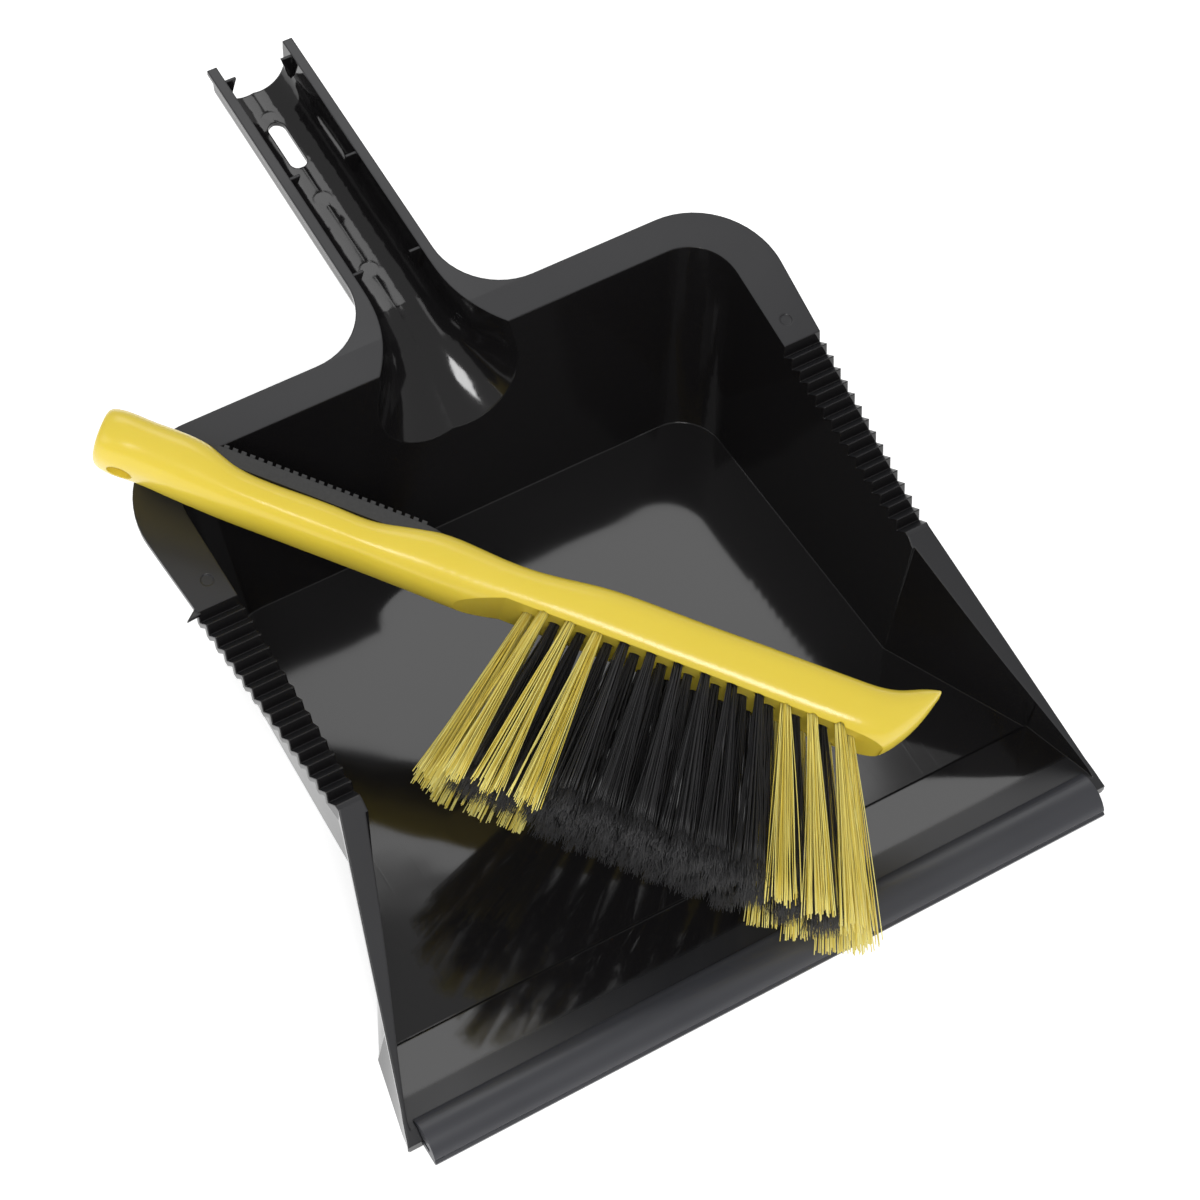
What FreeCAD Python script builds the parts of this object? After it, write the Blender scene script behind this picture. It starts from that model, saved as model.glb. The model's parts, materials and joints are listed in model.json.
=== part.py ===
# Dust pan and hand brush set.
# Frame: +X to the right along the lip, +Y from the lip towards the pan's handle, +Z up, millimetres.
# The origin is on the flat underside of the pan, in the middle of its width and 150 mm behind the lip's
# front edge. Distances called "reach" below are measured from the lip's front edge towards the handle.
import FreeCAD, Part
import math
import os

from FreeCAD import Placement, Rotation, Vector

doc = FreeCAD.newDocument("DustPanAndBrush")

# ---------------------------------------------------------------- driving dimensions

DIMENSIONS = [
    ("originreach", 150.0, "origin, behind the lip's front edge"),
    ("skin", 2.3, "wall thickness of the pan"),
    ("cheekskin", 1.8, "wall thickness of the cheeks in front of the waist"),
    ("floorthick", 2.5, "thickness of the pan's floor"),
    ("floorback", 245.4, "reach of the floor's back edge"),
    ("floorhalfback", 112.4, "half width of the floor near its back corners"),
    ("floorhalfwaist", 116.6, "half width of the floor where the cheeks start"),
    ("floorcorner", 19.0, "corner radius of the floor"),
    ("waistreach", 107.0, "reach where the side walls bend into the cheeks"),
    ("cheekhalf", 145.3, "half width of the floor at the foot of the ramp"),
    ("rimback", 263.8, "reach of the rim's inner back edge"),
    ("rimhalfback", 123.5, "half width inside the rim at the back"),
    ("rimhalfwaist", 120.9, "half width inside the rim at the waist"),
    ("rimcorner", 20.0, "inner corner radius of the rim"),
    ("rimouterback", 278.7, "reach of the rim's outer back edge"),
    ("rimouterhalf", 145.3, "half width outside the rim at the back"),
    ("rimouterwaist", 130.0, "half width outside the rim at the waist"),
    ("rimoutercorner", 36.0, "outer corner radius of the rim"),
    ("rimwaistreach", 111.0, "reach where the rim turns down to the lip"),
    ("rimwaistheight", 74.8, "height of the rim at the waist"),
    ("rimbackheight", 95.8, "height of the rim at its outer back edge"),
    ("tipreach", 9.6, "reach of the pan's front tips"),
    ("tiphalf", 157.0, "half width over the front tips"),
    ("tipheight", 4.2, "height of the front tips"),
    ("stepreach", 49.0, "reach of the foot of the step before the ramp"),
    ("rampreach", 48.0, "reach of the foot of the ramp"),
    ("stepheight", 3.3, "height of the ramp's foot"),
    ("rampheight", 7.0, "height of the ramp at the lip"),
    ("combteeth", 15, "teeth in each comb"),
    ("combpitch", 6.13, "distance between comb teeth"),
    ("combdrop", 5.6, "height of a comb tooth"),
    ("handlereach", 427.0, "reach of the handle's end"),
    ("handleheight", 105.0, "height of the handle's flanges at its end"),
    ("handlehalf", 15.6, "half width inside the handle channel"),
    ("handleflange", 19.5, "half width over the handle's flanges"),
    ("neckradius", 29.0, "radius between the rim and the handle"),
    ("slotreach", 395.0, "reach of the hanging slot's centre"),
    ("slotlength", 25.5, "length of the hanging slot"),
    ("slotwidth", 7.5, "width of the hanging slot"),
    ("liphalf", 150.6, "half length of the lip strip"),
    ("lipdepth", 17.3, "depth of the lip strip, front to back"),
    ("lipcrest", 9.6, "height of the lip strip"),
    ("tuftpitch", 10.725, "distance between tufts in a row"),
    ("rowspacing", 8.662, "distance between the rows of tufts"),
    ("tuftroot", 2.2, "radius of a tuft at the block"),
    ("tufttip", 6.7, "radius of a tuft at its tips"),
    ("tuftlength", 74.4, "free length of the bristles"),
    ("tufthole", 2.35, "radius of a tuft hole"),
    ("holedepth", 8.0, "depth of a tuft hole"),
    ("anchorlength", 4.0, "length of a tuft anchor"),
    ("anchorthick", 0.6, "thickness of a tuft anchor"),
    ("griplength", 100.0, "length of the grip insert"),
    ("gripwidth", 21.0, "width of the grip insert"),
    ("gripdepth", 5.6, "depth of the grip insert"),
    ("gripribs", 24, "ribs across the grip insert"),
]

sheet = doc.addObject("Spreadsheet::Sheet", "Dimensions")
for row, (alias, value, meaning) in enumerate(DIMENSIONS, start=1):
    sheet.set(f"A{row}", meaning)
    sheet.set(f"B{row}", str(value))
    sheet.setAlias(f"B{row}", alias)
doc.recompute()


def size(alias):
    """One driving dimension from the sheet."""
    return float(sheet.get(alias))


TO_ORIGIN = Placement(Vector(0, -size("originreach"), 0), Rotation())
ABOVE = 130.0       # higher than anything on the pan
UP = Vector(0, 0, 1)
ALONG = Vector(1, 0, 0)


# ---------------------------------------------------------------- small helpers

def prism(points, direction):
    """A straight-sided solid from a closed outline and a direction."""
    return Part.Face(Part.makePolygon(points + points[:1])).extrude(direction)


def tangent_arc(before, corner, after, radius):
    """The arc of one radius that rounds a corner, as its start, middle and end."""
    back = (before - corner).normalize()
    ahead = (after - corner).normalize()
    half_angle = back.getAngle(ahead) / 2
    bisector = (back + ahead).normalize()
    run = radius / math.tan(half_angle)
    centre = corner + bisector * (radius / math.sin(half_angle))
    return corner + back * run, centre - bisector * radius, corner + ahead * run


def rounded_outline(points, radii):
    """A closed wire through the points, with an arc at each point whose radius isn't zero."""
    count = len(points)
    edges = []
    joints = []
    for index, point in enumerate(points):
        if radii[index]:
            joints.append(tangent_arc(points[index - 1], point, points[(index + 1) % count], radii[index]))
        else:
            joints.append((point, None, point))
    for index, (start, middle, end) in enumerate(joints):
        if middle:
            edges.append(Part.Arc(start, middle, end).toShape())
        following = joints[(index + 1) % count][0]
        if (following - end).Length > 1e-6:
            edges.append(Part.LineSegment(end, following).toShape())
    return Part.Wire(edges)


def mirrored(points):
    """The right-hand points of a symmetric outline, followed by their left-hand twins."""
    return points + [Vector(-p.x, p.y, p.z) for p in reversed(points)]


# ---------------------------------------------------------------- the pan's side profile

def rim_height(reach):
    """Height of the rim's top behind the waist."""
    run = size("rimouterback") - size("rimwaistreach")
    slope = (size("rimbackheight") - size("rimwaistheight")) / run
    if reach <= size("rimouterback"):
        return size("rimwaistheight") + slope * (reach - size("rimwaistreach"))
    slope = (size("handleheight") - size("rimbackheight")) / (size("handlereach") - size("rimouterback"))
    return size("rimbackheight") + slope * (reach - size("rimouterback"))


COMB_FRONT = size("rimwaistreach") + 2.0
COMB_BACK = COMB_FRONT + size("combteeth") * size("combpitch")
TOOTH_FACE = 1.25   # run of a tooth's steep front face


def comb_top():
    """Side profile of the comb's top, from back to front."""
    points = []
    for tooth in range(int(size("combteeth"))):
        reach = COMB_BACK - tooth * size("combpitch")
        points.append(Vector(0, reach, rim_height(reach)))
        points.append(Vector(0, reach - TOOTH_FACE, rim_height(reach) - size("combdrop")))
    return points


def comb_underside():
    """Side profile of the comb's underside: one wedge-shaped hollow under each tooth."""
    base = size("combdrop") + size("skin")
    points = []
    for tooth in range(int(size("combteeth"))):
        reach = COMB_BACK - tooth * size("combpitch")
        if tooth:
            points.append(Vector(0, reach + 4.6, rim_height(reach) - base))
            points.append(Vector(0, reach + 1.16, rim_height(reach) - 3.97))
        points.append(Vector(0, reach + 0.35, rim_height(reach) - base))
    return points


def profile_band(thickness):
    """The sheet that the rim, the combs and the handle's flanges are cut from."""
    top = [Vector(0, size("handlereach"), rim_height(size("handlereach"))),
           Vector(0, size("rimouterback"), rim_height(size("rimouterback")))]
    top += comb_top()
    top += [Vector(0, COMB_FRONT, rim_height(COMB_FRONT)),
            Vector(0, size("rimwaistreach"), size("rimwaistheight")),
            Vector(0, size("tipreach"), size("tipheight"))]
    down = Vector(0, 0, -thickness)
    lower = [top[0] + down, top[1] + down, Vector(0, COMB_BACK + 1.5, rim_height(COMB_BACK + 1.5)) + down]
    lower += comb_underside()
    lower += [Vector(0, COMB_FRONT - 0.5, rim_height(COMB_FRONT) - size("combdrop") - thickness),
              Vector(0, size("rimwaistreach") - 5.5, size("rimwaistheight") - 8.0),
              Vector(0, size("tipreach") + 1.5, size("tipheight") - thickness),
              Vector(0, size("tipreach"), 1.0)]
    wide = size("tiphalf") + 5
    outline = [point + ALONG * -wide for point in top + lower[::-1]]
    return prism(outline, ALONG * (2 * wide))


def below_profile():
    """Everything under the rim's top line, to trim the walls to it."""
    top = [Vector(0, size("handlereach"), rim_height(size("handlereach"))),
           Vector(0, size("rimouterback"), rim_height(size("rimouterback")))]
    top += comb_top()
    top += [Vector(0, COMB_FRONT, rim_height(COMB_FRONT)),
            Vector(0, size("rimwaistreach"), size("rimwaistheight")),
            Vector(0, size("tipreach"), size("tipheight")),
            Vector(0, size("tipreach"), -1),
            Vector(0, size("handlereach"), -1)]
    wide = size("tiphalf") + 5
    return prism([point + ALONG * -wide for point in top], ALONG * (2 * wide))


# ---------------------------------------------------------------- the pan's walls

def tub_outline(part_way, grow, height):
    """A level outline of the tray behind the waist, part of the way from its floor to its rim."""
    back = size("floorback") + (size("rimback") - size("floorback")) * part_way + grow
    half_back = size("floorhalfback") + (size("rimhalfback") - size("floorhalfback")) * part_way + grow
    half_waist = size("floorhalfwaist") + (size("rimhalfwaist") - size("floorhalfwaist")) * part_way + grow
    radius = size("floorcorner") + (size("rimcorner") - size("floorcorner")) * part_way + grow
    waist = size("waistreach")
    points = mirrored([Vector(half_waist, waist, height), Vector(half_back, back, height)])
    return rounded_outline(points, [0, radius, radius, 0])


WALL_RISE = 91.5    # height over which the walls lean out from the floor's outline to the rim's


def tub(grow, bottom, top):
    """The tray behind the waist, as a solid between two heights."""
    ends = []
    for height in (bottom, top):
        part_way = (height - size("floorthick")) / WALL_RISE
        ends.append(tub_outline(part_way, grow, height))
    return Part.makeLoft(ends, True, True)


def cheek_section(reach, half_low, half_high, low, high):
    """A four-sided upright section across the tray."""
    corners = mirrored([Vector(half_low, reach, low), Vector(half_high, reach, high)])
    return Part.makePolygon(corners + corners[:1])


LIP_HALF = 153.2        # half width of the ramp where it meets the lip
FRONT_HALF = 155.0      # half width of the ramp carried on to the front
RIM_FRONT_HALF = 155.6  # half width inside the rim at the front tips
CHEEK_RISE = 14.0       # how far the cheeks run on above the rim, before they are trimmed to it


def cheeks(grow, hollow, front):
    """The tray in front of the waist: sections that widen and get lower towards the lip."""
    fall = size("rimwaistheight") - size("tipheight")
    run = size("rimwaistreach") - size("tipreach")
    stations = [
        (size("waistreach"), size("floorhalfwaist"), size("floorthick")),
        (size("stepreach"), size("cheekhalf"), size("floorthick")),
        (size("rampreach"), size("cheekhalf") + 0.9, size("stepheight")),
        (size("lipdepth"), LIP_HALF, size("rampheight")),
        (front, FRONT_HALF, size("rampheight") + 0.9),
    ]
    widening = RIM_FRONT_HALF - size("rimhalfwaist")
    wires = []
    for reach, half_low, floor in stations:
        forward = size("waistreach") - reach
        rim = size("tipheight") + fall * (reach - size("tipreach")) / run
        half_rim = size("rimhalfwaist") + widening * forward / (size("waistreach") - size("tipreach"))
        lean = (half_rim - half_low) / max(rim - floor, 12.0)
        low = floor if hollow else 0.0
        half_low += lean * (low - floor) + grow
        half_high = half_rim + lean * CHEEK_RISE + grow
        wires.append(cheek_section(reach, half_low, half_high, low, rim + CHEEK_RISE))
    return Part.makeLoft(wires, True, True)


def flange_plan():
    """Plan of the rim and the handle's flanges together, tall enough to meet the profile band."""
    right = [
        Vector(size("tiphalf"), size("tipreach"), 0),
        Vector(154.6, size("lipdepth"), 0),
        Vector(size("rimouterwaist"), size("rimwaistreach"), 0),
        Vector(size("rimouterhalf"), size("rimouterback"), 0),
        Vector(size("handleflange"), size("rimouterback"), 0),
        Vector(size("handleflange"), size("handlereach"), 0),
    ]
    points = mirrored(right)
    radii = [0, 0, 0, size("rimoutercorner"), size("neckradius"), 0]
    return Part.Face(rounded_outline(points, radii + radii[::-1])).extrude(UP * ABOVE)


# ---------------------------------------------------------------- the pan's handle

def channel_section(reach, half, floor, grow):
    """A U-shaped section of the handle's channel, open upwards."""
    half = half + grow
    floor = floor - grow
    round_part = min(half * 0.66, (rim_height(min(reach, size("handlereach"))) - floor) * 0.85)
    shoulder = floor + round_part
    narrow = half - 0.6
    low_corner = Vector(narrow * 0.74, reach, floor + round_part * 0.27)
    edges = [
        Part.LineSegment(Vector(-half, reach, ABOVE), Vector(half, reach, ABOVE)),
        Part.LineSegment(Vector(half, reach, ABOVE), Vector(narrow, reach, shoulder)),
        Part.Arc(Vector(narrow, reach, shoulder), low_corner, Vector(0, reach, floor)),
        Part.Arc(Vector(0, reach, floor), Vector(-low_corner.x, reach, low_corner.z),
                 Vector(-narrow, reach, shoulder)),
        Part.LineSegment(Vector(-narrow, reach, shoulder), Vector(-half, reach, ABOVE)),
    ]
    return Part.Wire([edge.toShape() for edge in edges])


MOUTH_REACH = 304.0     # the channel is straight beyond this reach, and flares in front of it
MOUTH_END = 246.0
TROUGH_END_FLOOR = 83.5     # height of the channel's floor at the handle's end
TROUGH_FLOOR = 75.5         # and where the mouth starts
MOUTH_STEPS = 8


def channel(grow, end):
    """The handle's channel, which opens into the tray through a bell mouth."""
    half = size("handlehalf")
    straight = [channel_section(end, half, TROUGH_END_FLOOR, grow),
                channel_section(MOUTH_REACH, half, TROUGH_FLOOR, grow)]
    flared = []
    for step in range(MOUTH_STEPS + 1):
        part_way = step / MOUTH_STEPS
        reach = MOUTH_REACH + (MOUTH_END - MOUTH_REACH) * part_way
        flare = half + 34.0 * part_way ** 2.5
        floor = TROUGH_FLOOR - 8.0 * part_way - 23.0 * part_way ** 1.8
        flared.append(channel_section(reach, flare, floor, grow))
    return Part.makeLoft(straight, True, True).fuse(Part.makeLoft(flared, True, False))


FIN_THICK = 1.2


def fin_pair(reach, low):
    """Two small tapering fins in the channel, one on each side."""
    top = rim_height(reach) - 0.8
    fins = []
    for side in (-1, 1):
        outline = [Vector(side * 16.0, reach, top), Vector(side * 10.4, reach, top),
                   Vector(side * 13.2, reach, low + 9), Vector(side * 16.0, reach, low + 4)]
        fins.append(prism(outline, Vector(0, -FIN_THICK, 0)))
    return fins


# ---------------------------------------------------------------- the pan

def box(low, high):
    """A box from its lowest to its highest corner."""
    extent = high - low
    return Part.makeBox(extent.x, extent.y, extent.z, low)


def lip_seat():
    """Room for the lip strip between the pan's two front tips."""
    half = size("liphalf") + 0.1
    return box(Vector(-half, -20, -5), Vector(half, size("lipdepth") + 0.05, ABOVE))


RAMP_BAYS = 9
RAMP_BAYS_HALF = 140.0
RAMP_RIB = 1.6


def ramp_hollows():
    """The hollows under the ramp, between the ribs that stiffen it."""
    foot = size("rampreach") - 1.0
    front = size("lipdepth") + 3.0
    outline = [Vector(0, foot, -1), Vector(0, foot, size("stepheight") - size("skin")),
               Vector(0, front, size("rampheight") - size("skin")), Vector(0, front, -1)]
    bay = 2 * RAMP_BAYS_HALF / RAMP_BAYS
    hollows = []
    for index in range(RAMP_BAYS):
        left = -RAMP_BAYS_HALF + index * bay + RAMP_RIB / 2
        hollows.append(prism([point + ALONG * left for point in outline], ALONG * (bay - RAMP_RIB)))
    return hollows


def ejector_marks():
    """Shallow round marks left by the mould's ejector pins on the rims and in the trough."""
    slope = math.atan2(rim_height(200.0) - rim_height(150.0), 50.0)
    square_on = Vector(0, -math.sin(slope), math.cos(slope))
    marks = []
    for side in (-1, 1):
        place = Vector(side * 129.0, 215.5, rim_height(215.5) - 0.35)
        marks.append(Part.makeCylinder(2.5, 3, place, square_on))
    for reach, floor in ((410.0, 82.4), (364.3, 79.3), (325.0, 76.7)):
        marks.append(Part.makeCylinder(4.0, 1.0, Vector(0, reach, floor - 0.3)))
    return marks


def pan_shape():
    """The whole pan as one moulding."""
    skin = size("skin")
    end = size("handlereach")
    outer = tub(skin, 0.0, ABOVE).fuse(cheeks(size("cheekskin"), False, size("tipreach")))
    outer = outer.common(below_profile())
    handle = channel(skin, end).common(below_profile())
    band = flange_plan().common(profile_band(skin))
    solid = outer.fuse([handle, band])
    hollow = tub(0.0, size("floorthick"), ABOVE)
    front_hollow = cheeks(0.0, True, size("tipreach") - 12)
    solid = solid.cut([hollow, front_hollow, channel(0.0, end + 1), lip_seat()])
    tongue = box(Vector(-149.5, 5.2, 3.1), Vector(149.5, size("lipdepth") + 1.0, 5.1))
    fins = fin_pair(420.0, 84) + fin_pair(364.5, 82) + fin_pair(311.5, 77)
    nib = prism([Vector(-137.5, 208.0, 84.9), Vector(-143.5, 203.5, 84.9), Vector(-137.5, 204.0, 84.9)],
                UP * 1.3)
    solid = solid.fuse([tongue, nib] + fins)
    slot_half = size("slotwidth") / 2
    slot_run = size("slotlength") - size("slotwidth")
    slot_front = size("slotreach") - slot_run / 2
    slot = box(Vector(-slot_half, slot_front, 60), Vector(slot_half, slot_front + slot_run, ABOVE))
    ends = [Part.makeCylinder(slot_half, 70, Vector(0, slot_front + run, 60)) for run in (0, slot_run)]
    set_back = prism([Vector(-30, end - 3.2, 70), Vector(-30, end, size("handleheight") - 4),
                      Vector(-30, end + 5, size("handleheight") - 4), Vector(-30, end + 5, 70)],
                     ALONG * 60)
    return solid.cut([slot, set_back] + ends + ramp_hollows() + ejector_marks()).removeSplitter()


pan_tray = doc.addObject("Part::Feature", "pan_tray")
pan_tray.Shape = pan_shape()
pan_tray.Placement = TO_ORIGIN


# ---------------------------------------------------------------- the lip strip

def origin_plane(body, role):
    """One of a body's own origin planes."""
    return next(feature for feature in body.Origin.OriginFeatures if feature.Role == role)


def new_sketch(body, name, role):
    """An empty sketch on one of its own body's origin planes."""
    sketch = body.newObject("Sketcher::SketchObject", name)
    sketch.AttachmentSupport = [(origin_plane(body, role), "")]
    sketch.MapMode = "FlatFace"
    return sketch


def bind(thing, prop, expression):
    thing.setExpression(prop, expression)


lip_strip = doc.addObject("PartDesign::Body", "lip_strip")
lip_sketch = new_sketch(lip_strip, "LipSection", "YZ_Plane")
depth = size("lipdepth")
crest = size("lipcrest")
lip_outline = [
    Vector(0.3, 0.2, 0), Vector(0.0, 1.9, 0), Vector(0.9, 2.3, 0), Vector(0.9, 3.9, 0),
    Vector(depth, 7.9, 0), Vector(depth, 5.15, 0), Vector(5.0, 5.15, 0), Vector(5.0, 3.05, 0),
    Vector(depth, 3.05, 0), Vector(depth, 0.0, 0),
]
CROWN = 3   # the outline's curved stretch starts at this point
for index, start in enumerate(lip_outline):
    finish = lip_outline[(index + 1) % len(lip_outline)]
    if index == CROWN:
        lip_sketch.addGeometry(Part.Arc(start, Vector(7.4, crest, 0), finish), False)
    else:
        lip_sketch.addGeometry(Part.LineSegment(start, finish), False)
lip_pad = lip_strip.newObject("PartDesign::Pad", "LipLength")
lip_pad.Profile = lip_sketch
lip_pad.Midplane = True
bind(lip_pad, "Length", "2 * Dimensions.liphalf")
lip_strip.Placement = TO_ORIGIN


# ---------------------------------------------------------------- the brush

# The brush's own frame: X along the stock to its nose, Y across it, Z out of its back, so the bristles
# point to -Z. Its origin is in the middle of the face that the tufts stand in.
BRUSH_ALONG = Vector(0.6636, -0.7299, -0.1639)
BRUSH_ACROSS = Vector(0.0873, 0.2932, -0.9520)
BRUSH_BACK = Vector(0.7429, 0.6175, 0.2583)
BRUSH_PLACE = Vector(11.2, 98.1, 73.6)
brush_turn = Rotation(BRUSH_ALONG, BRUSH_ACROSS, BRUSH_BACK, "XYZ")
BRUSH = TO_ORIGIN.multiply(Placement(BRUSH_PLACE, brush_turn))

GRIP_START = -202.0
GRIP_FLOOR = 11.4
# Stations along the stock: place, top, underside, half width, squareness.
STOCK_STATIONS = [
    (-237.5, 15.8, -0.8, 11.8, 2.3),
    (-236.6, 17.4, -2.6, 13.6, 2.4),
    (-234.0, 18.2, -3.6, 14.8, 2.5),
    (-222.0, 18.4, -3.8, 15.4, 2.5),
    (-206.0, 18.4, -4.4, 15.8, 2.5),
    (-196.0, 16.9, -4.8, 15.8, 2.5),
    (-186.0, 13.4, -5.0, 15.6, 2.5),
    (-176.0, 12.1, -5.0, 15.4, 2.5),
    (-160.0, 12.3, -5.0, 15.0, 2.5),
    (-144.0, 12.5, -5.0, 14.8, 2.5),
    (-130.0, 12.5, -5.0, 14.8, 2.5),
    (-120.0, 14.8, -5.2, 14.8, 2.5),
    (-108.0, 17.4, -5.4, 15.0, 2.5),
    (-97.0, 17.9, -5.6, 15.4, 2.5),
    (-84.0, 16.9, -5.2, 16.0, 2.6),
    (-72.0, 16.3, -4.2, 16.6, 2.7),
    (-58.0, 17.3, -3.8, 17.2, 2.8),
    (-42.0, 19.5, -3.8, 17.6, 2.9),
    (-20.0, 20.3, -3.8, 17.8, 3.0),
    (0.0, 20.4, -3.8, 17.8, 3.0),
    (22.0, 20.9, -3.8, 17.6, 3.0),
    (44.0, 21.2, -3.8, 17.4, 3.0),
    (60.0, 21.6, -3.7, 17.0, 2.9),
    (70.0, 22.4, -3.2, 16.2, 2.7),
    (77.0, 24.4, -1.2, 14.6, 2.5),
    (83.0, 27.4, 5.0, 12.2, 2.3),
    (88.0, 29.6, 14.0, 9.0, 2.2),
    (91.0, 30.6, 22.5, 6.0, 2.1),
    (92.3, 30.9, 27.0, 3.6, 2.0),
]


def stock_section(place, top, underside, half, squareness, points=28):
    """A rounded, slightly square section across the stock."""
    middle = (top + underside) / 2
    rise = (top - underside) / 2
    outline = []
    for index in range(points):
        angle = 2 * math.pi * index / points
        across = math.copysign(abs(math.cos(angle)) ** (2 / squareness), math.cos(angle))
        upward = math.copysign(abs(math.sin(angle)) ** (2 / squareness), math.sin(angle))
        outline.append(Vector(place, half * across, middle + rise * upward))
    curve = Part.BSplineCurve()
    curve.interpolate(Points=outline, PeriodicFlag=True)
    return Part.Wire([curve.toShape()])


ROWS = {"a": (-1.5, 12), "b": (-0.5, 13), "c": (0.5, 13), "d": (1.5, 12)}
YELLOW_ENDS = {"a": 3, "b": 1, "c": 1, "d": 3}      # yellow tufts at each end of each row
FAN_ALONG = 1.361       # the tips stand this much further apart than the roots, along the stock
FAN_LEAN = 9.2          # and lean this far towards the nose
FAN_ACROSS = 1.882      # spread across the stock


def tuft_roots():
    """Each tuft's name and the place of its root in the tuft face."""
    roots = []
    for letter, (row, count) in ROWS.items():
        for index in range(count):
            along = (index - (count - 1) / 2) * size("tuftpitch")
            roots.append((f"tuft_{letter}{index + 1:02d}", Vector(along, row * size("rowspacing"), 0)))
    return roots


def grip_plan(height, rise):
    """The plan of the grip insert, a strip with rounded ends, as a solid."""
    half = size("gripwidth") / 2
    start = GRIP_START + half
    run = size("griplength") - 2 * half
    middle = box(Vector(start, -half, height), Vector(start + run, half, height + rise))
    ends = [Part.makeCylinder(half, rise, Vector(start + part, 0, height)) for part in (0, run)]
    return middle.fuse(ends)


def stock_shape():
    """The brush's stock with its flat tuft face, tuft holes, grip recess and hanging hole."""
    solid = Part.makeLoft([stock_section(*station) for station in STOCK_STATIONS], True, False)
    tuft_face = box(Vector(-74, -40, -20), Vector(78, 40, 0))
    run_in = prism([Vector(-98, -40, -7.5), Vector(-74, -40, 0),
                    Vector(-74, -40, -20), Vector(-98, -40, -20)], Vector(0, 80, 0))
    hanging = Part.makeCylinder(5.0, 80, Vector(-226.0, 0, -40))
    holes = [Part.makeCylinder(size("tufthole"), size("holedepth") + 1, root + Vector(0, 0, -1))
             for name, root in tuft_roots()]
    return solid.cut([tuft_face, run_in, hanging, grip_plan(GRIP_FLOOR, 30)] + holes)


brush_stock = doc.addObject("Part::Feature", "brush_stock")
brush_stock.Shape = stock_shape()
brush_stock.Placement = BRUSH

# The grip insert: a strip with rounded ends, and ribs across it.
handle_grip = doc.addObject("PartDesign::Body", "handle_grip")
grip_sketch = new_sketch(handle_grip, "GripPlan", "XY_Plane")
grip_half = size("gripwidth") / 2
grip_start = GRIP_START + grip_half
grip_end = GRIP_START + size("griplength") - grip_half
grip_corners = [Vector(grip_start, -grip_half, 0), Vector(grip_end, -grip_half, 0),
                Vector(grip_end, grip_half, 0), Vector(grip_start, grip_half, 0)]
grip_sketch.addGeometry(Part.LineSegment(grip_corners[0], grip_corners[1]), False)
grip_sketch.addGeometry(
    Part.Arc(grip_corners[1], Vector(grip_end + grip_half, 0, 0), grip_corners[2]), False)
grip_sketch.addGeometry(Part.LineSegment(grip_corners[2], grip_corners[3]), False)
grip_sketch.addGeometry(
    Part.Arc(grip_corners[3], Vector(grip_start - grip_half, 0, 0), grip_corners[0]), False)
grip_pad = handle_grip.newObject("PartDesign::Pad", "GripBase")
grip_pad.Profile = grip_sketch
bind(grip_pad, "Length", "Dimensions.gripdepth")
rib_pitch = (grip_end - grip_start) / (size("gripribs") - 1)
RIB_WIDTH = 2.0
RIB_RISE = 1.3
rib_sketch = new_sketch(handle_grip, "RibPlan", "XY_Plane")
rib_low = Vector(grip_start - RIB_WIDTH / 2, -grip_half + 0.3, 0)
rib_high = Vector(grip_start + RIB_WIDTH / 2, grip_half - 0.3, 0)
rib_corners = [rib_low, Vector(rib_high.x, rib_low.y, 0), rib_high, Vector(rib_low.x, rib_high.y, 0)]
for index, corner in enumerate(rib_corners):
    rib_sketch.addGeometry(Part.LineSegment(corner, rib_corners[(index + 1) % 4]), False)
rib_pad = handle_grip.newObject("PartDesign::Pad", "Rib")
rib_pad.Profile = rib_sketch
bind(rib_pad, "Length", f"Dimensions.gripdepth + {RIB_RISE}")
doc.recompute()
rib_row = handle_grip.newObject("PartDesign::LinearPattern", "RibRow")
rib_row.Originals = [rib_pad]
rib_row.Direction = (rib_sketch, ["H_Axis"])
rib_row.Length = rib_pitch * (size("gripribs") - 1)
bind(rib_row, "Occurrences", "Dimensions.gripribs")
handle_grip.Tip = rib_row
handle_grip.Placement = BRUSH.multiply(Placement(Vector(0, 0, GRIP_FLOOR), Rotation()))


# ---------------------------------------------------------------- the tufts

def add_tuft(name, root):
    """One tuft: a round root in its hole and a bundle that fans out to the tips."""
    tip = Vector(root.x * FAN_ALONG + FAN_LEAN, root.y * FAN_ACROSS, -size("tuftlength"))
    reach = tip - root
    stretch = reach.Length / size("tuftlength")
    stem = doc.addObject("Part::Cylinder", name + "_root")
    bind(stem, "Radius", "Dimensions.tuftroot")
    bind(stem, "Height", "Dimensions.holedepth - 2.2")
    stem.Placement = BRUSH.multiply(Placement(root, Rotation()))
    fan = doc.addObject("Part::Cone", name + "_fan")
    bind(fan, "Radius1", "Dimensions.tuftroot")
    bind(fan, "Radius2", "Dimensions.tufttip")
    bind(fan, "Height", f"Dimensions.tuftlength * {stretch:.5f}")
    fan.Placement = BRUSH.multiply(Placement(root, Rotation(Vector(0, 0, 1), reach)))
    tuft = doc.addObject("Part::Fuse", name)
    tuft.Base = stem
    tuft.Tool = fan
    return tuft


tufts = [add_tuft(name, root) for name, root in tuft_roots()]

anchors = []
for name, root in tuft_roots():
    anchor = doc.addObject("Part::Box", name + "_anchor")
    bind(anchor, "Length", "Dimensions.anchorlength")
    bind(anchor, "Width", "Dimensions.anchorthick")
    anchor.Height = 1.8
    corner = root + Vector(-size("anchorlength") / 2, -size("anchorthick") / 2, size("holedepth") - 2.0)
    anchor.Placement = BRUSH.multiply(Placement(corner, Rotation()))
    anchors.append(anchor)
tuft_anchors = doc.addObject("Part::Compound", "tuft_anchors")
tuft_anchors.Links = anchors


# ---------------------------------------------------------------- check and write

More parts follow.
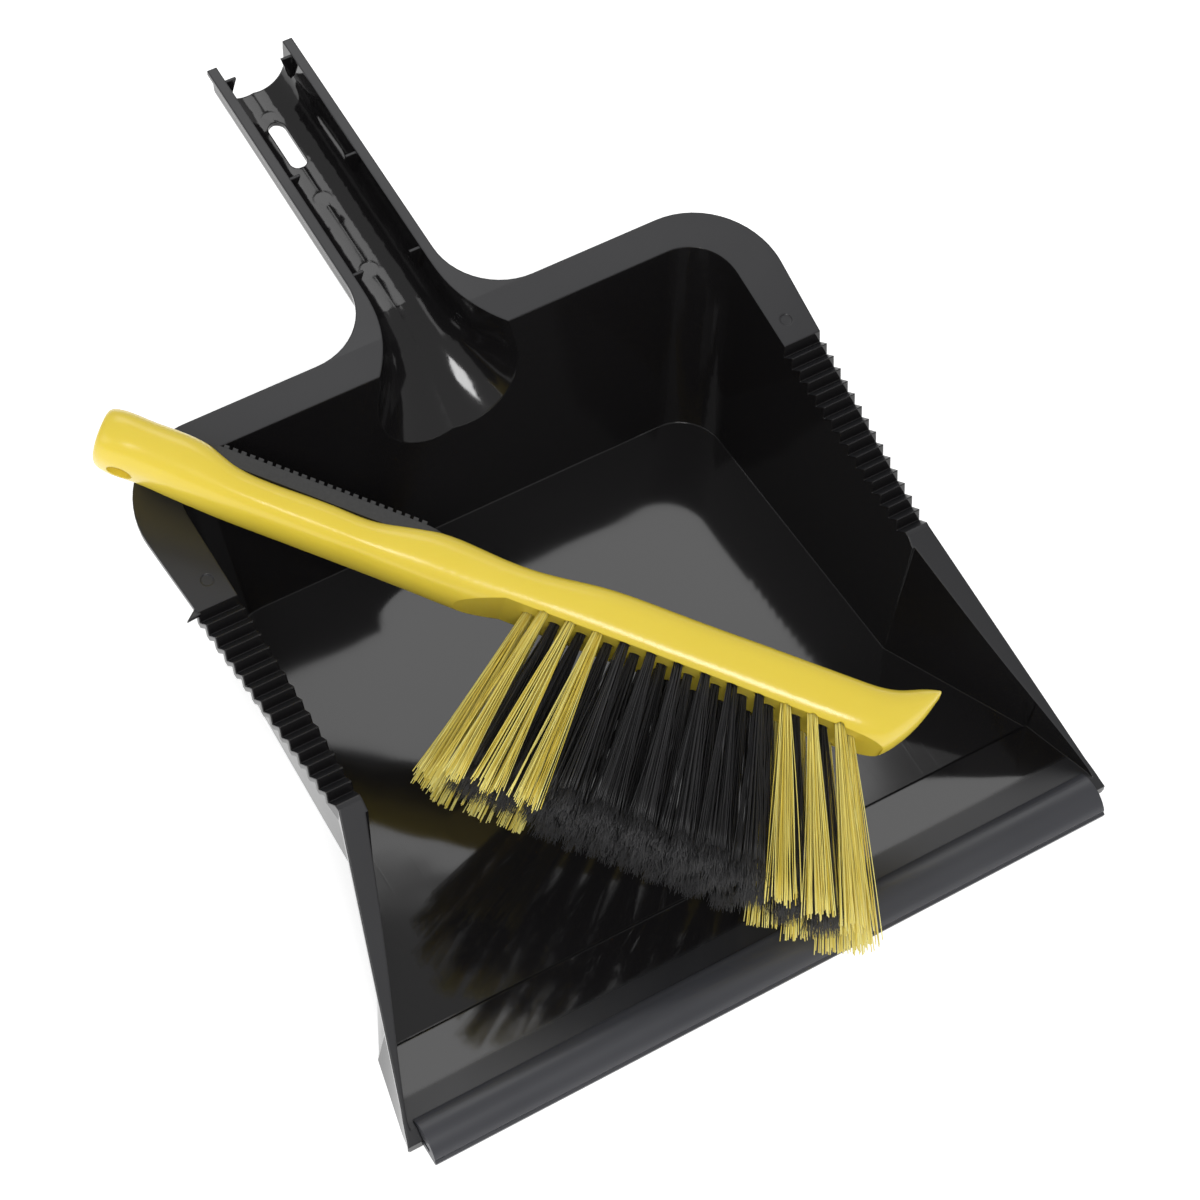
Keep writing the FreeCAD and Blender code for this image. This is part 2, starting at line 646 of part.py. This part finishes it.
doc.recompute()
for item in doc.Objects:
    if "Invalid" in item.State or "Error" in item.State:
        raise RuntimeError(f"{item.Name} did not compute: {item.State}")

SUBPARTS = [pan_tray, lip_strip, brush_stock, handle_grip, tuft_anchors] + tufts
os.makedirs("parts", exist_ok=True)
for subpart in SUBPARTS:
    subpart.Label = subpart.Name
    if subpart.Shape.isNull() or not subpart.Shape.isValid():
        raise RuntimeError(f"{subpart.Label} has no valid shape")
for subpart in SUBPARTS:
    subpart.Shape.exportStep(os.path.join("parts", subpart.Label + ".step"))
print(len(SUBPARTS), "sub-parts written")
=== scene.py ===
import json
import math
import random

import bpy
from mathutils import Matrix, Vector


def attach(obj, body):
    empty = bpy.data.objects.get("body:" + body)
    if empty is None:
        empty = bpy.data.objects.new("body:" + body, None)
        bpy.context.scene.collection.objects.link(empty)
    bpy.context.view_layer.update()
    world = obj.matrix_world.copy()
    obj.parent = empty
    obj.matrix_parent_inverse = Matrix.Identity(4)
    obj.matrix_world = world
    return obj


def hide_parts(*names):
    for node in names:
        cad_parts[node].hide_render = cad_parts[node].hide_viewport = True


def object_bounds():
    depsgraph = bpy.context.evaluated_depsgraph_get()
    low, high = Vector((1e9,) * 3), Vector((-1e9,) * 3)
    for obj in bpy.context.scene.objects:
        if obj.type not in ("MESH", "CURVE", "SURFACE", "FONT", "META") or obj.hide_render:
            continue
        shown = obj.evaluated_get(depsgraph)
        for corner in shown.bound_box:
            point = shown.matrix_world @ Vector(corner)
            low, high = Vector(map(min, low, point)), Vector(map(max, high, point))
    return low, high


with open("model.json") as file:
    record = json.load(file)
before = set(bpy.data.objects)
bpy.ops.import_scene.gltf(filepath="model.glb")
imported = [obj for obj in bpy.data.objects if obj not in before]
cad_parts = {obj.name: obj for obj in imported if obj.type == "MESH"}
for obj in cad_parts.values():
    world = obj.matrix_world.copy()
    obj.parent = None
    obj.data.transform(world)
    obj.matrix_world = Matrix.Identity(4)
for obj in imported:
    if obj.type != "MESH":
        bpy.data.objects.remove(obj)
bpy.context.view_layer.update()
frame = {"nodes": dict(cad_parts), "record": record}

MM = 0.001
scene = bpy.context.scene


# ---------------------------------------------------------------- where things are

def mount(name):
    """Place and axis of one of the record's mounts."""
    found = next(m for m in frame["record"]["mounts"] if m["name"] == name)
    return Vector(found["pos_m"]), Vector(found["axis"]).normalized()


def mean(points):
    """The middle of some points."""
    total = Vector((0, 0, 0))
    for point in points:
        total += point
    return total / len(points)


def node_mesh_points(node):
    """Every corner of a node's mesh, in the row's frame."""
    return [vertex.co.copy() for vertex in frame["nodes"][node].data.vertices]


BRUSH_BACK = mount("brush_hanging_hole")[1]
BRISTLES = -BRUSH_BACK
STEM = 5.8 * MM         # how far a tuft reaches into its hole
STEM_END = 0.3 * MM     # depth of the flat end inside the hole
TIP_DEPTH = 5.2 * MM    # depth of the slanted end at the tips


def tuft_axis(node):
    """A tuft's root, where it leaves the block, and the middle of its tips."""
    points = node_mesh_points(node)
    along = [point.dot(BRISTLES) for point in points]
    start = min(along)
    stem_end = mean([p for p, a in zip(points, along) if a < start + STEM_END])
    tips = mean([p for p, a in zip(points, along) if a > max(along) - TIP_DEPTH])
    return stem_end + BRISTLES * STEM, tips


# ---------------------------------------------------------------- materials

def new_material(name):
    """A material with its nodes, links and main shader."""
    material = bpy.data.materials.new(name)
    material.use_nodes = True
    nodes = material.node_tree.nodes
    return material, nodes, material.node_tree.links, nodes["Principled BSDF"]


def noise(nodes, links, coordinates, scale, detail=3.0, distortion=0.0):
    """A noise texture in the row's own metres."""
    texture = nodes.new("ShaderNodeTexNoise")
    texture.inputs["Scale"].default_value = scale
    texture.inputs["Detail"].default_value = detail
    texture.inputs["Distortion"].default_value = distortion
    links.new(coordinates, texture.inputs["Vector"])
    return texture.outputs["Fac"]


def remap(nodes, links, value, low, high, to_low, to_high):
    """A value stretched from one range to another, held at its ends."""
    ramp = nodes.new("ShaderNodeMapRange")
    ramp.inputs["From Min"].default_value = low
    ramp.inputs["From Max"].default_value = high
    ramp.inputs["To Min"].default_value = to_low
    ramp.inputs["To Max"].default_value = to_high
    links.new(value, ramp.inputs["Value"])
    return ramp.outputs["Result"]


def maths(nodes, links, operation, first, second, third=0.0):
    """One sum of values; the second may be a plain number."""
    node = nodes.new("ShaderNodeMath")
    node.operation = operation
    links.new(first, node.inputs[0])
    node.inputs[2].default_value = third
    if isinstance(second, (int, float)):
        node.inputs[1].default_value = second
    else:
        links.new(second, node.inputs[1])
    return node.outputs[0]


def mix_colours(nodes, links, factor, first, second):
    """A colour between two others."""
    mixer = nodes.new("ShaderNodeMix")
    mixer.data_type = "RGBA"
    mixer.inputs["A"].default_value = (*first, 1)
    mixer.inputs["B"].default_value = (*second, 1)
    links.new(factor, mixer.inputs["Factor"])
    return mixer.outputs["Result"]


def bump(nodes, links, height, strength, distance, normal=None):
    """Fine relief on top of a normal."""
    node = nodes.new("ShaderNodeBump")
    node.inputs["Strength"].default_value = strength
    node.inputs["Distance"].default_value = distance
    links.new(height, node.inputs["Height"])
    if normal is not None:
        links.new(normal, node.inputs["Normal"])
    return node.outputs["Normal"]


def soft_edges(nodes, radius):
    """The rounding that a mould leaves on every edge."""
    bevel = nodes.new("ShaderNodeBevel")
    bevel.samples = 6
    bevel.inputs["Radius"].default_value = radius
    return bevel.outputs["Normal"]


def object_coordinates(nodes):
    """Places on the piece itself, in metres."""
    return nodes.new("ShaderNodeTexCoord").outputs["Object"]


def stretched(nodes, links, coordinates, scale, turn=0.0):
    """Coordinates drawn out along one direction, for scratches and streaks."""
    mapping = nodes.new("ShaderNodeMapping")
    mapping.inputs["Scale"].default_value = scale
    mapping.inputs["Rotation"].default_value = (0, 0, turn)
    links.new(coordinates, mapping.inputs["Vector"])
    return mapping.outputs["Vector"]


# The line of the rim's top, seen from the side: its slope, and its height above the origin.
RIM_SLOPE = 0.1252
RIM_HEIGHT = 79.7 * MM
FRONT_SLOPE = 0.6963
FRONT_HEIGHT = 102.0 * MM
RIM_DEPTH = 12 * MM         # what lies less far than this below that line counts as rim

GLOSS_BLACK = (0.0085, 0.0080, 0.0085)
SATIN_BLACK = (0.016, 0.016, 0.018)
LIP_DARK = (0.034, 0.035, 0.041)
LIP_LIGHT = (0.046, 0.047, 0.054)
STOCK_DEEP = (0.76, 0.58, 0.050)
STOCK_BRIGHT = (0.82, 0.64, 0.075)
GRIP_DARK = (0.022, 0.022, 0.022)
GRIP_LIGHT = (0.040, 0.040, 0.040)


def pan_material():
    """Black polypropylene: mirror-like inside the tray, satin on the rims."""
    material, nodes, links, shader = new_material("pan_black")
    place = object_coordinates(nodes)
    geometry = nodes.new("ShaderNodeNewGeometry")
    split = nodes.new("ShaderNodeSeparateXYZ")
    links.new(geometry.outputs["Normal"], split.inputs[0])
    height = nodes.new("ShaderNodeSeparateXYZ")
    links.new(place, height.inputs[0])
    facing_up = remap(nodes, links, split.outputs["Z"], 0.35, 0.55, 0, 1)
    back_line = maths(nodes, links, "MULTIPLY_ADD", height.outputs["Y"], RIM_SLOPE, RIM_HEIGHT)
    front_line = maths(nodes, links, "MULTIPLY_ADD", height.outputs["Y"], FRONT_SLOPE, FRONT_HEIGHT)
    rim_line = maths(nodes, links, "MINIMUM", back_line, front_line)
    above = maths(nodes, links, "SUBTRACT", height.outputs["Z"], rim_line)
    near_rim = remap(nodes, links, above, -RIM_DEPTH, 2 * MM - RIM_DEPTH, 0, 1)
    rim = maths(nodes, links, "MULTIPLY", facing_up, near_rim)
    wear = noise(nodes, links, place, 9, 4, 0.3)
    gloss = remap(nodes, links, wear, 0.3, 0.7, 0.05, 0.11)
    satin = remap(nodes, links, wear, 0.3, 0.7, 0.32, 0.42)
    extra = maths(nodes, links, "SUBTRACT", satin, gloss)
    extra = maths(nodes, links, "MULTIPLY", extra, rim)
    links.new(maths(nodes, links, "ADD", gloss, extra), shader.inputs["Roughness"])
    colour = mix_colours(nodes, links, rim, GLOSS_BLACK, SATIN_BLACK)
    links.new(colour, shader.inputs["Base Color"])
    shader.inputs["IOR"].default_value = 1.5
    edges = soft_edges(nodes, 0.9 * MM)
    wobble = bump(nodes, links, noise(nodes, links, place, 11, 2, 0.5), 0.35, 1.2 * MM, edges)
    lines = stretched(nodes, links, place, (900, 25, 25), 0.5)
    scratches = remap(nodes, links, noise(nodes, links, lines, 1, 2), 0.62, 0.72, 0, 1)
    links.new(bump(nodes, links, scratches, 0.04, 0.05 * MM, wobble), shader.inputs["Normal"])
    return material


def lip_material():
    """Satin grey-black blade with fine scratches along it."""
    material, nodes, links, shader = new_material("lip_black")
    place = object_coordinates(nodes)
    cloud = noise(nodes, links, place, 14, 3)
    links.new(mix_colours(nodes, links, cloud, LIP_DARK, LIP_LIGHT), shader.inputs["Base Color"])
    links.new(remap(nodes, links, cloud, 0.3, 0.7, 0.30, 0.42), shader.inputs["Roughness"])
    edges = soft_edges(nodes, 0.5 * MM)
    lines = stretched(nodes, links, place, (12, 900, 900), 0.03)
    streaks = noise(nodes, links, lines, 1, 2)
    links.new(bump(nodes, links, streaks, 0.25, 0.15 * MM, edges), shader.inputs["Normal"])
    return material


def stock_material():
    """Warm yellow semi-gloss plastic with faint moulding unevenness."""
    material, nodes, links, shader = new_material("stock_yellow")
    place = object_coordinates(nodes)
    cloud = noise(nodes, links, place, 18, 3)
    links.new(mix_colours(nodes, links, cloud, STOCK_DEEP, STOCK_BRIGHT), shader.inputs["Base Color"])
    links.new(remap(nodes, links, cloud, 0.3, 0.7, 0.20, 0.28), shader.inputs["Roughness"])
    shader.inputs["Subsurface Weight"].default_value = 0.12
    shader.inputs["Subsurface Radius"].default_value = (0.004, 0.003, 0.0008)
    edges = soft_edges(nodes, 0.8 * MM)
    uneven = bump(nodes, links, noise(nodes, links, place, 60, 3), 0.12, 0.25 * MM, edges)
    links.new(uneven, shader.inputs["Normal"])
    return material


def grip_material():
    """Matt black rubber with a fine grain."""
    material, nodes, links, shader = new_material("grip_black")
    place = object_coordinates(nodes)
    grain = noise(nodes, links, place, 900, 2)
    links.new(mix_colours(nodes, links, grain, GRIP_DARK, GRIP_LIGHT), shader.inputs["Base Color"])
    shader.inputs["Roughness"].default_value = 0.62
    links.new(bump(nodes, links, grain, 0.3, 0.1 * MM, soft_edges(nodes, 0.4 * MM)),
              shader.inputs["Normal"])
    return material


def bristle_material(name, dark, light, roughness):
    """Drawn filaments, a little different from one to the next."""
    material, nodes, links, shader = new_material(name)
    shade = nodes.new("ShaderNodeAttribute")
    shade.attribute_name = "shade"
    links.new(mix_colours(nodes, links, shade.outputs["Fac"], dark, light), shader.inputs["Base Color"])
    shader.inputs["Roughness"].default_value = roughness
    return material


def wire_material():
    """Drawn steel wire."""
    material, nodes, links, shader = new_material("anchor_wire")
    shine = noise(nodes, links, object_coordinates(nodes), 400, 2)
    links.new(remap(nodes, links, shine, 0.3, 0.7, 0.25, 0.45), shader.inputs["Roughness"])
    shader.inputs["Base Color"].default_value = (0.6, 0.6, 0.6, 1)
    shader.inputs["Metallic"].default_value = 1.0
    return material


def dress(node, material):
    """Gives a CAD node its material."""
    for slot in frame["nodes"][node].material_slots:
        slot.material = material


# ---------------------------------------------------------------- bristles

FILAMENTS = 44              # bristles in one tuft
FILAMENT_RADIUS = 0.22 * MM
SPLIT_RADIUS = 0.09 * MM
ROOT_SPREAD = 1.9 * MM
TIP_SPREAD = 6.9 * MM
BLACK_SPREAD = 7.8 * MM     # the black tufts' soft tips run into each other
RIM_SHARE = 0.88            # the outermost bristles aim this far out before they wander
WANDER = 1.1 * MM
BOW = 0.8 * MM
OPENING = 1.08              # above 1, a tuft opens more towards its tips
LENGTH_SCATTER = 0.018
SHORTEST_TRIM = 0.004
ROOT_BURIED = 2.5 * MM      # how far each bristle runs on into the block
SPLITS = 5                  # each black bristle ends in this many hairs
FRAY = 2.2 * MM             # how far those hairs stand apart
HAIR_SCATTER = 4.5 * MM     # how much shorter some of them are
HAIR_BEND = 0.4 * MM
HAIR_OVERLAP = 0.5 * MM
RINGS = 8


class Bundle:
    """Collects filaments and turns them into one mesh."""

    def __init__(self):
        self.points = []
        self.faces = []
        self.shades = []

    def filament(self, path, radius, side, other, shade):
        """A three-sided closed thread along a path, with its own shade."""
        base = len(self.points)
        self.shades += [shade] * (3 * len(path))
        for place in path:
            for corner in range(3):
                angle = 2 * math.pi * corner / 3
                self.points.append(place + (side * math.cos(angle) + other * math.sin(angle)) * radius)
        for ring in range(len(path) - 1):
            low = base + 3 * ring
            for corner in range(3):
                following = (corner + 1) % 3
                self.faces.append((low + corner, low + following, low + 3 + following, low + 3 + corner))
        last = base + 3 * (len(path) - 1)
        self.faces.append((base + 2, base + 1, base))
        self.faces.append((last, last + 1, last + 2))

    def piece(self, name, material):
        """The whole bundle as one object."""
        mesh = bpy.data.meshes.new(name)
        mesh.from_pydata(self.points, [], self.faces)
        mesh.polygons.foreach_set("use_smooth", [True] * len(mesh.polygons))
        mesh.materials.append(material)
        mesh.attributes.new("shade", "FLOAT", "POINT").data.foreach_set("value", self.shades)
        thing = bpy.data.objects.new(name, mesh)
        scene.collection.objects.link(thing)
        return thing


def disc_point(dice, spread):
    """A random place in a disc, as two offsets."""
    radius = spread * math.sqrt(dice.random())
    angle = 2 * math.pi * dice.random()
    return radius * math.cos(angle), radius * math.sin(angle)


def bristle_tuft(node, material, flagged):
    """A tuft of separate bristles on the axis of its CAD cone."""
    dice = random.Random(node)
    root, tips = tuft_axis(node)
    along = (tips - root).normalized()
    side = along.orthogonal().normalized()
    other = along.cross(side)
    bundle = Bundle()
    spread = BLACK_SPREAD if flagged else TIP_SPREAD
    for _ in range(FILAMENTS):
        start_x, start_y = disc_point(dice, ROOT_SPREAD)
        end_x = start_x / ROOT_SPREAD * spread * RIM_SHARE + dice.gauss(0, WANDER)
        end_y = start_y / ROOT_SPREAD * spread * RIM_SHARE + dice.gauss(0, WANDER)
        reach = math.hypot(end_x, end_y)
        if reach > spread:
            end_x *= spread / reach
            end_y *= spread / reach
        bow = disc_point(dice, BOW)
        shade = dice.random()
        length = 1.0 - abs(dice.gauss(0, LENGTH_SCATTER)) - SHORTEST_TRIM
        path = []
        for ring in range(RINGS + 1):
            part_way = length * ring / RINGS
            opened = part_way ** OPENING
            swing = math.sin(math.pi * part_way)
            offset_x = start_x + (end_x - start_x) * opened + bow[0] * swing
            offset_y = start_y + (end_y - start_y) * opened + bow[1] * swing
            path.append(root.lerp(tips, part_way) + side * offset_x + other * offset_y)
        path.insert(0, path[0] - along * ROOT_BURIED)
        if not flagged:
            bundle.filament(path, FILAMENT_RADIUS, side, other, shade)
            continue
        bundle.filament(path[:-1], FILAMENT_RADIUS, side, other, shade)
        for _ in range(SPLITS):
            fray = disc_point(dice, FRAY)
            tip = path[-1] - along * (HAIR_SCATTER * dice.random())
            tip += side * fray[0] + other * fray[1]
            bend = side * dice.gauss(0, HAIR_BEND) + other * dice.gauss(0, HAIR_BEND)
            hair = [path[-2] - along * HAIR_OVERLAP, path[-2].lerp(tip, 0.5) + bend, tip]
            bundle.filament(hair, SPLIT_RADIUS, side, other, 0.3 + 0.7 * dice.random())
    piece = bundle.piece(node + "_bristles", material)
    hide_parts(node)
    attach(piece, "brush")


# ---------------------------------------------------------------- the object

pan_black = pan_material()
lip_black = lip_material()
stock_yellow = stock_material()
grip_black = grip_material()
yellow = bristle_material("bristle_yellow", (0.80, 0.62, 0.07), (1.0, 0.92, 0.32), 0.34)
black = bristle_material("bristle_black", (0.010, 0.010, 0.011), (0.045, 0.044, 0.046), 0.36)

dress("pan_tray", pan_black)
dress("lip_strip", lip_black)
dress("brush_stock", stock_yellow)
dress("handle_grip", grip_black)
dress("tuft_anchors", wire_material())

slot_of = {part["node"]: part["material_slot"] for part in frame["record"]["subparts"]}
for node in sorted(slot_of):
    if slot_of[node] == "bristle_yellow":
        bristle_tuft(node, yellow, False)
    elif slot_of[node] == "bristle_black":
        bristle_tuft(node, black, True)


# ---------------------------------------------------------------- floor, light and camera

FLOOR_HALF = 30.0
FLOOR_GAP = 0.3 * MM        # between the floor and the pan
FLOOR_GLOW = 0.55
ROOM_GLOW = 0.50

LENS = 102.0                # in millimetres, on a frame 36 mm wide
CAMERA_PLACE = (-0.4105, -0.5879, 1.1543)
CAMERA_FORWARD = Vector((0.3178, 0.4496, -0.8348))
CAMERA_RIGHT = Vector((0.8577, -0.5116, 0.0509))


def pale_floor():
    """A wide white floor that stays pure white under the lights."""
    low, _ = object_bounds()
    height = low.z - FLOOR_GAP
    mesh = bpy.data.meshes.new("floor")
    corners = [(-1, -1), (1, -1), (1, 1), (-1, 1)]
    mesh.from_pydata([(x * FLOOR_HALF, y * FLOOR_HALF, height) for x, y in corners], [], [(0, 1, 2, 3)])
    material, _, _, shader = new_material("floor_white")
    shader.inputs["Base Color"].default_value = (0.9, 0.9, 0.9, 1)
    shader.inputs["Roughness"].default_value = 0.8
    shader.inputs["Specular IOR Level"].default_value = 0.0
    shader.inputs["Emission Color"].default_value = (1, 1, 1, 1)
    shader.inputs["Emission Strength"].default_value = FLOOR_GLOW
    mesh.materials.append(material)
    floor = bpy.data.objects.new("floor", mesh)
    scene.collection.objects.link(floor)


def soft_box(name, place, aim, width, depth, power):
    """A large rectangular lamp that looks at a point."""
    data = bpy.data.lights.new(name, "AREA")
    data.shape = "RECTANGLE"
    data.size = width
    data.size_y = depth
    data.energy = power
    lamp = bpy.data.objects.new(name, data)
    lamp.location = place
    lamp.rotation_mode = "QUATERNION"
    lamp.rotation_quaternion = (Vector(aim) - Vector(place)).to_track_quat("-Z", "Y")
    scene.collection.objects.link(lamp)


def camera():
    """A long lens above the open corner of the pan."""
    data = bpy.data.cameras.new("camera")
    data.sensor_width = 36.0
    data.lens = LENS
    thing = bpy.data.objects.new("camera", data)
    forward = CAMERA_FORWARD.normalized()
    right = CAMERA_RIGHT.normalized()
    up = right.cross(forward)
    turn = Matrix((right, up, -forward)).transposed().to_4x4()
    thing.matrix_world = Matrix.Translation(CAMERA_PLACE) @ turn
    scene.collection.objects.link(thing)
    scene.camera = thing


pale_floor()
soft_box("over_box", (0.52, 1.02, 1.45), (0, 0, 0), 0.85, 0.80, 4.5)
soft_box("left_box", (-1.5, 0.2, 1.1), (0, 0, 0.05), 1.0, 1.0, 3.5)
soft_box("key_box", (-0.6, -1.3, 1.9), (0, 0, 0.05), 0.8, 0.6, 22)
world = bpy.data.worlds.new("room")
world.use_nodes = True
world.node_tree.nodes["Background"].inputs["Color"].default_value = (1, 1, 1, 1)
world.node_tree.nodes["Background"].inputs["Strength"].default_value = ROOM_GLOW
scene.world = world
scene.view_settings.view_transform = "Standard"
camera()
